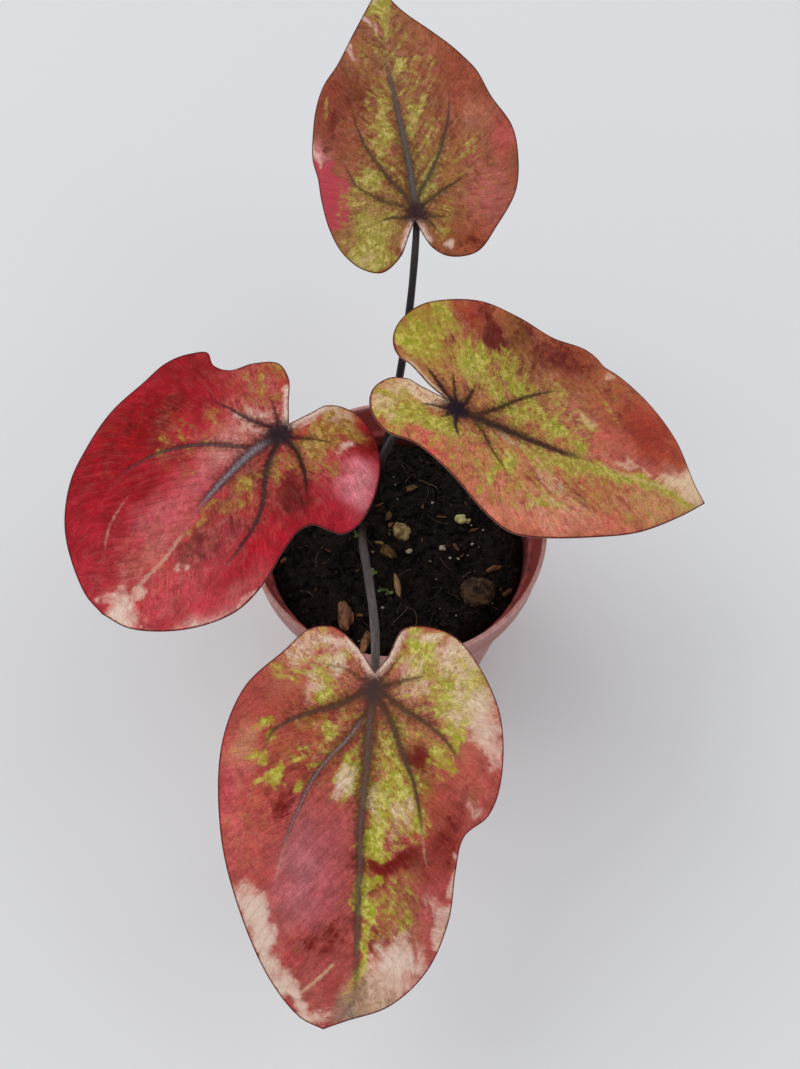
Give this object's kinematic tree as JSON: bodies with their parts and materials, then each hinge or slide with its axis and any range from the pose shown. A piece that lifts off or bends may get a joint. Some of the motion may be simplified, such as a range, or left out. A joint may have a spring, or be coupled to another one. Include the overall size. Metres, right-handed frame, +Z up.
{
  "type": "potted caladium",
  "caption": "Caladium with heart-shaped mottled red and lime leaves on dark arching petioles, rooted in soil in a tapered plastic nursery pot.",
  "frame": {"origin": "centre of the pot's foot, in the plane that it stands on", "axes": "+Z up along the pot's axis; -Y towards the side where the lowest leaf hangs; +X to the right when looking along +Y"},
  "size_m": [0.2011, 0.3462, 0.1909],
  "materials": {
    "pot_plastic": "satin injection-moulded terracotta plastic, paler on the rim edge, with soil dust inside",
    "soil": "damp near-black peat with fine fibres and crumbs",
    "tuber": "dry corky brown skin",
    "petiole": "smooth near-black purple-brown skin with a low waxy sheen",
    "leaf_front": "waxy leaf, rose and brick red marbled with lime and cream, dark veins",
    "leaf_left": "waxy leaf, crimson with pink streaks, olive by the joint, dark veins",
    "leaf_right": "waxy leaf, lime and olive marbled with brick red and salmon, dark veins",
    "leaf_back": "waxy leaf, rust red mottled with lime and olive, dark veins",
    "stone": "dull dark brown pebble",
    "pumice": "porous cream and tan grit",
    "bark": "weathered bark chips"
  },
  "bodies": {
    "root": {"pot": "pot_plastic", "soil": "soil", "tuber": "tuber", "petiole_front": "petiole", "petiole_left": "petiole", "petiole_right": "petiole", "petiole_back": "petiole", "blade_front": "leaf_front", "blade_left": "leaf_left", "blade_right": "leaf_right", "blade_back": "leaf_back", "stone": "stone", "pumice": "pumice", "bark_long": "bark", "bark_short": "bark", "bark_curl": "bark"}
  },
  "joints": []
}
